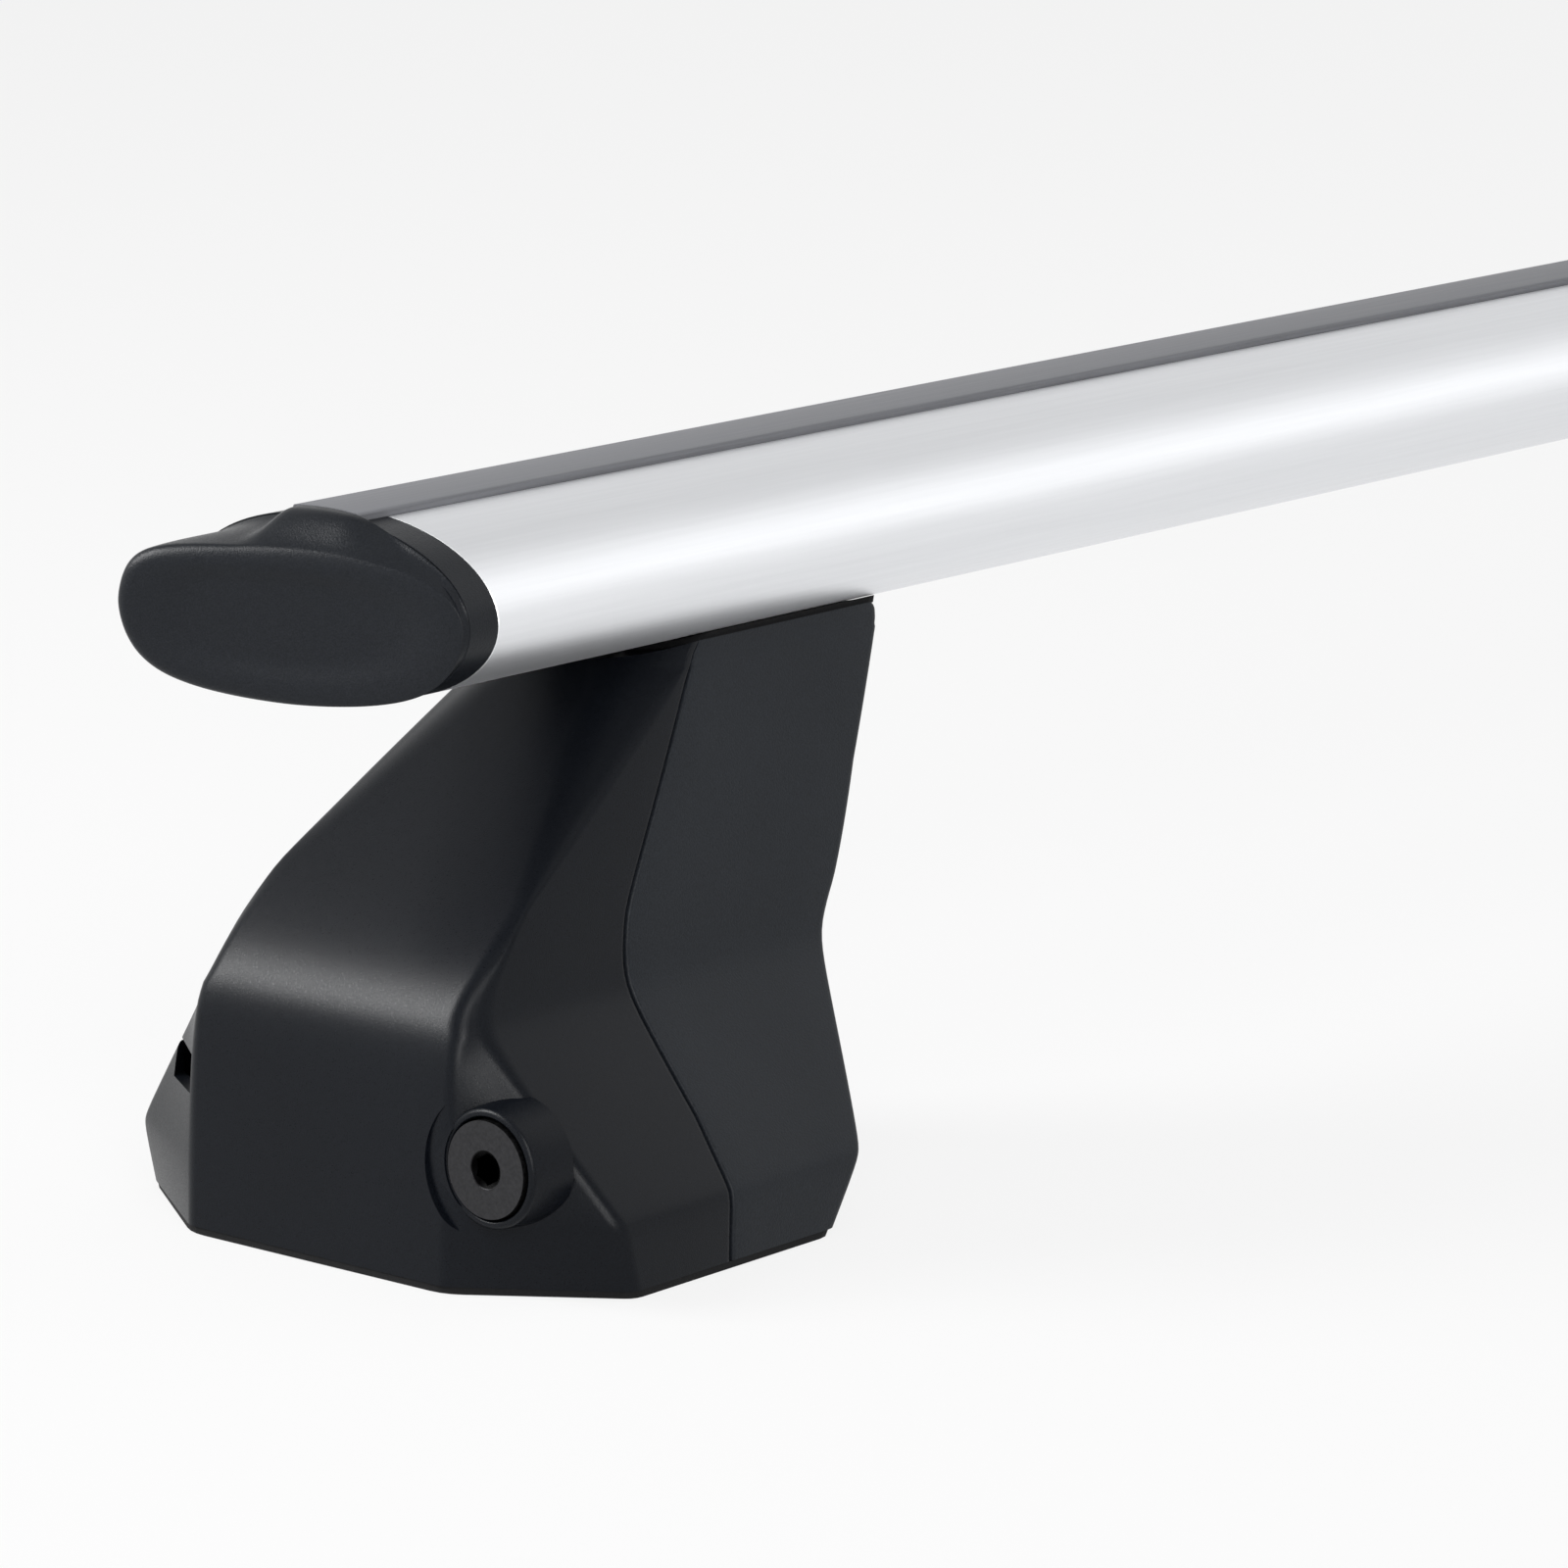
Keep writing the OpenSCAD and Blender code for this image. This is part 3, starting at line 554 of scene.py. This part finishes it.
def back_at(z):
    u = clamped(z / BELLY_Z)
    return BACK_BASE + (BACK_TOP - BACK_BASE) * z / FOOT_HEIGHT + 4 * BELLY * u * (1 - u)


def seam_at(z):
    u = clamped(1 - z / SEAM_CURL_Z)
    edge = soft_max(SEAM_X0, SEAM_TOP + SEAM_SLOPE * (z - FOOT_HEIGHT), SEAM_BEND)
    return edge - SEAM_CURL * u * (2 - u)


def facet_rise(z):
    return FACET_HIGH * max(0.0, z - FACET_Z)


def facet_y(z):
    return min(FACE_HALF, half_at(z) - FACET_MIN - facet_rise(z))


def facet_at(z):
    return soft_max(FACET_LOW * (FACET_Z - z), facet_rise(z), FACET_BEND)


def soft_corner(p, q, r, size, steps):
    """A rounded corner at q, between p and r."""
    p, q, r = Vector(p), Vector(q), Vector(r)
    t = min(size, 0.45 * (p - q).length, 0.45 * (r - q).length)
    s, e = q + t * (p - q).normalized(), q + t * (r - q).normalized()
    return [(1 - u) ** 2 * s + 2 * u * (1 - u) * q + u * u * e for u in (i / steps for i in range(steps + 1))]


def half_ring(z, wall=0.0):
    """One side of the cover's and the housing's outline at height z, from the middle to the seam."""
    a, c, d, f = half_at(z), facet_y(z), facet_at(z), front_at(z)
    b, s = back_at(z), seam_at(z)
    d = min(d, s - 2.4 - f)
    run = math.hypot(d, a - c)
    c -= wall * d / (run + a - c)
    ridge_in = wall * (a - c) / (run + d)
    a, b, f = a - wall, b - wall, f + wall
    front_lip, rear_lip = s - SEAM_GAP / 2, s + SEAM_GAP / 2
    face, rear = (f, c), (b, a)
    ridge = (min(f - wall + d + ridge_in, front_lip - COVER_LIP - 0.4), a)
    low = smooth((WAIST_Z - z) / 20)
    face_bend = soft_corner((f, 0), face, ridge, 5 - 3.2 * low, 8)
    ridge_bend = soft_corner(face, ridge, (front_lip - COVER_LIP, a), RIDGE_SOFT, 10)
    cover = [Vector((f, face_bend[0].y * k / 10)) for k in range(10)] + face_bend
    cover += [face_bend[-1].lerp(ridge_bend[0], k / 8) for k in range(1, 8)] + ridge_bend
    rear_bend = soft_corner((b, 0), rear, (rear_lip, a), 3.0, 8)
    housing = [Vector((b, rear_bend[0].y * k / 9)) for k in range(9)] + rear_bend
    housing += [rear_bend[-1].lerp(Vector((rear_lip + HOUSING_LIP, a)), k / 6) for k in range(1, 6)]
    if wall:
        cover += [Vector((front_lip - COVER_LIP * (1 - k / 6), a)) for k in range(7)]
        housing += [Vector((rear_lip + HOUSING_LIP * (1 - k / 5), a)) for k in range(6)]
    else:
        cover += soft_corner(ridge, (front_lip, a), (front_lip, a - 9), COVER_LIP, 6)
        housing += soft_corner(rear, (rear_lip, a), (rear_lip, a - 9), HOUSING_LIP, 5)
    return cover, housing


def bar_gap_z(y):
    """Height of the foot's top at y, a gasket below the bar."""
    a, b = BAR_A + GASKET_GAP, BAR_B + GASKET_GAP
    return BAR_Z - b * math.sqrt(max(0.0, 1 - (y / a) ** 2))


def foot_levels():
    low = [PAD, 2.2, 6, 10, 13, 14.5, 15.5, 16, 16.5, 17.5, 19]
    top = FOOT_HEIGHT - GASKET_GAP
    line = top - BAND
    count = 48
    rising = [19 + (line - 0.5 - 19) * (i / count) for i in range(1, count + 1)]
    return low + rising + [line - 0.12, line, line + 0.2] + [line + BAND * i / 8 for i in range(1, 9)]


def band_shift(z, top, p, part):
    """How the rubber band under the bar steps in from the housing and rounds off at its rear."""
    t = (z - (top - BAND)) / BAND
    if part == 0 or t < 0:
        return p
    x = p.x - (3.2 * t ** 3 if p.x > BACK_TOP - 22 else 0)
    return Vector((x, max(0.0, p.y - BAND_INSET * smooth(t * 12))))


def foot_rows(part, wall):
    """Rows up one side of the cover (part 0) or the housing (part 1), on its outside or on its wall's inside."""
    tops = []
    for j in range(len(half_ring(50, wall)[part])):
        z = FOOT_HEIGHT
        for _ in range(14):
            z = bar_gap_z(half_ring(z, wall)[part][j].y) - wall
        tops.append(z)
    level_top = FOOT_HEIGHT - GASKET_GAP
    rows = []
    for z in foot_levels():
        lift = smooth((z - 70) / (level_top - 70))
        row = []
        for j, top in enumerate(tops):
            zz = z + (top - level_top) * lift
            p = half_ring(zz, wall)[part][j]
            if not wall:
                p = band_shift(z, level_top, p, part)
            row.append((p.x, p.y, zz))
        rows.append(row)
    return rows


def foot_shell(name, part, side, wall):
    """The cover or the housing as a wall with a roof under the bar, open below and at the seam."""
    verts, faces = [], []

    def sheet(lines):
        base, width = len(verts), len(lines[0])
        verts.extend(placed(side, p) for line in lines for p in line)
        faces.extend(tuple(base + i for i in f) for f in strip_faces(len(lines), width))

    skins = [foot_rows(part, w) for w in (0.0, wall)]
    for sign in (1, -1):
        rims = []
        for rows, w in zip(skins, (0.0, wall)):
            rows = [[(x, sign * y, z) for x, y, z in row] for row in rows]
            top, (seam_x, seam_y, _) = rows[-1], rows[-1][-1]
            roof = []
            for j, (x, y, z) in enumerate(top):
                y1 = seam_y * j / (len(top) - 1)
                line = [(x, y, z)]
                for k in range(1, 13):
                    yy = y + (y1 - y) * k / 12
                    line.append((x + (seam_x - x) * k / 12, yy, bar_gap_z(yy) - w))
                roof.append(line)
            roof[-1] = [top[-1]] * 13
            sheet(rows)
            sheet(roof)
            rims.append((rows[0], [row[-1] for row in rows], [line[-1] for line in roof]))
        for rim in zip(*rims):
            sheet(rim)
    return make_object(name, verts, faces)


def boss_profile():
    """Section of the boss: a softened rim, a flared outside and the bore that the bolt's head lies in."""
    bore = HEAD_R + 0.6
    rim = [(BOSS_X + 0.5 * (1 - math.sin(t)), bore + 0.5 * (1 - math.cos(t)))
           for t in (math.pi / 2 * i / 4 for i in range(5))]
    edge = [(BOSS_X + 1.1 * (1 - math.cos(t)), BOSS_R - 1.1 + 1.1 * math.sin(t))
            for t in (math.pi / 2 * i / 6 for i in range(7))]
    flare = [(BOSS_X + 1.1 + (BOSS_END - BOSS_X - 1.1) * u, BOSS_R + (BOSS_BASE_R - BOSS_R) * u ** 0.8)
             for u in (i / 6 for i in range(1, 7))]
    return [(BOSS_END, bore)] + rim + edge + flare


def splayed(name, place):
    """The cutter of the cover's window, whose far side opens inwards."""
    low, high = WINDOW_Y - WINDOW_WIDE / 2, WINDOW_Y + WINDOW_WIDE / 2
    verts = [place((x, y, WINDOW_Z + s * WINDOW_HIGH / 2))
             for s in (-1, 1)
             for x, y in ((CUT_FROM, low), (6, low), (6, high + 6), (SPLAY_X, high), (CUT_FROM, high))]
    faces = strip_faces(2, 5, closed=True) + [tuple(range(5)), tuple(range(5, 10))]
    return make_object(name, verts, faces)


def add_cover(side):
    place = lambda p: placed(side, p)
    skin = foot_shell(f"cover_{side}", 0, side, FOOT_WALL)
    cut(skin,
        rod("c", RECESS_R, CUT_FROM, RECESS_END, place),
        rod("c", BORE_R, CUT_FROM, BORE_END, place),
        splayed("c", place))
    joined(skin, revolved("boss", boss_profile(), place))
    dress(skin, COVER, f"cover_{side}", [f"foot_cover_{side}"])


def add_housing(side):
    skin = foot_shell(f"housing_{side}", 1, side, FOOT_WALL)
    dress(skin, HOUSING, f"foot_{side}", [f"foot_housing_{side}"])


CARRIED = {
    "saddle_gasket": (PAD_RUBBER, "pad_rubber"), "base_pad": (PAD_RUBBER, "pad_rubber"),
    "foot_bracket": (COATED, "coated_steel"), "bar_bolts": (ZINC, "zinc_steel"),
    "bar_nuts": (ZINC, "zinc_steel"), "bolt_spacer": (ZINC, "zinc_steel"),
    "clamp_bolt": (DARK_STEEL, "dark_steel"), "clamp_block": (COATED, "coated_steel"),
    "bolt_clip": (DARK_STEEL, "dark_steel"),
}

add_crossbar()
add_strip()
for end in SIDES:
    add_cap(end)
    add_collar(end)
    add_cover(end)
    add_housing(end)
    for stem, (finish, slot_name) in CARRIED.items():
        dress(edged(nodes[f"{stem}_{end}"], 0.3), finish)


# Stage
SKY = (1.0, 0.42, 0.25, 0.85)  # brightness low and high in the sky, and the heights between which it falls
FLOOR_GLOW = 0.93


def ray_switch(tree):
    """1 for what the camera sees directly, in gloss or through glass, and 0 for light on surfaces."""
    path = tree.nodes.new("ShaderNodeLightPath")
    first = tree.nodes.new("ShaderNodeMath")
    first.operation = "MAXIMUM"
    second = tree.nodes.new("ShaderNodeMath")
    second.operation = "MAXIMUM"
    tree.links.new(path.outputs["Is Camera Ray"], first.inputs[0])
    tree.links.new(path.outputs["Is Glossy Ray"], first.inputs[1])
    tree.links.new(first.outputs[0], second.inputs[0])
    tree.links.new(path.outputs["Is Transmission Ray"], second.inputs[1])
    return second.outputs[0]


def add_world(ambient):
    world = bpy.data.worlds.new("studio")
    world.use_nodes = True
    bpy.context.scene.world = world
    tree = world.node_tree
    plain = tree.nodes["Background"]
    plain.inputs["Color"].default_value = (1, 1, 1, 1)
    plain.inputs["Strength"].default_value = ambient
    white = tree.nodes.new("ShaderNodeBackground")
    white.inputs["Color"].default_value = (1, 1, 1, 1)
    place = tree.nodes.new("ShaderNodeTexCoord")
    split = tree.nodes.new("ShaderNodeSeparateXYZ")
    tree.links.new(place.outputs["Generated"], split.inputs["Vector"])
    tree.links.new(ramp(tree, split.outputs["Z"], *SKY), white.inputs["Strength"])
    mix = tree.nodes.new("ShaderNodeMixShader")
    tree.links.new(ray_switch(tree), mix.inputs["Fac"])
    tree.links.new(plain.outputs[0], mix.inputs[1])
    tree.links.new(white.outputs[0], mix.inputs[2])
    tree.links.new(mix.outputs[0], tree.nodes["World Output"].inputs["Surface"])


def add_floor(size, white_share):
    obj = make_object("floor", [(x * size, y * size, -0.0002) for x, y in ((-1, -1), (1, -1), (1, 1), (-1, 1))],
                      [(0, 1, 2, 3)])
    mat = bpy.data.materials.new("floor")
    mat.use_nodes = True
    tree = mat.node_tree
    shader = tree.nodes["Principled BSDF"]
    shader.inputs["Base Color"].default_value = (0.86, 0.86, 0.86, 1)
    shader.inputs["Roughness"].default_value = 0.9
    glow = tree.nodes.new("ShaderNodeEmission")
    glow.inputs["Strength"].default_value = FLOOR_GLOW
    share = tree.nodes.new("ShaderNodeMath")
    share.operation = "MULTIPLY"
    share.inputs[1].default_value = white_share
    tree.links.new(ray_switch(tree), share.inputs[0])
    mix = tree.nodes.new("ShaderNodeMixShader")
    tree.links.new(share.outputs[0], mix.inputs["Fac"])
    tree.links.new(shader.outputs[0], mix.inputs[1])
    tree.links.new(glow.outputs[0], mix.inputs[2])
    tree.links.new(mix.outputs[0], tree.nodes["Material Output"].inputs["Surface"])
    obj.data.materials.append(mat)


def add_lamp(name, direction, distance, target, size, power):
    data = bpy.data.lights.new(name, "AREA")
    data.shape = "RECTANGLE"
    data.size, data.size_y = size
    data.energy = power
    obj = bpy.data.objects.new(name, data)
    bpy.context.scene.collection.objects.link(obj)
    aim = Vector(direction).normalized()
    obj.location = Vector(target) + aim * distance
    obj.rotation_euler = aim.to_track_quat("Z", "Y").to_euler()


def add_camera():
    """The photograph's camera: it looks past the left end and the leading side, a little down."""
    data = bpy.data.cameras.new("camera")
    data.lens = 166.96
    data.sensor_width = 36
    data.clip_end = 50
    obj = bpy.data.objects.new("camera", data)
    bpy.context.scene.collection.objects.link(obj)
    pitch, heading = math.radians(12.19), math.radians(40.0)
    obj.location = placed("left", (-1076.634, -1019.304, 420.0))
    obj.rotation_euler = (math.pi / 2 - pitch, 0, heading - math.pi / 2)
    bpy.context.scene.camera = obj


NEAR_FOOT = placed("left", (20, 0, 60))
# Name, direction, distance, target, size and power of each soft lamp
LAMPS = (
    ("back_left", (-0.53, 0.63, 0.57), 1.8, NEAR_FOOT, (0.7, 0.95), 42),
    ("overhead", (-0.1, -0.2, 1.0), 2.4, (0, 0, 0.14), (2.6, 1.4), 8),
    ("front", (-0.42, -0.66, 0.52), 2.2, NEAR_FOOT, (0.8, 0.8), 20),
    ("fill", (-0.68, -0.70, 0.22), 2.3, NEAR_FOOT, (1.0, 0.5), 16),
    ("right", (0.71, -0.37, 0.61), 2.2, NEAR_FOOT, (1.6, 1.4), 5),
)
add_world(ambient=0.4)
add_floor(size=8, white_share=0.9)
for lamp in LAMPS:
    add_lamp(*lamp)
add_camera()
bpy.context.scene.view_settings.view_transform = "Standard"
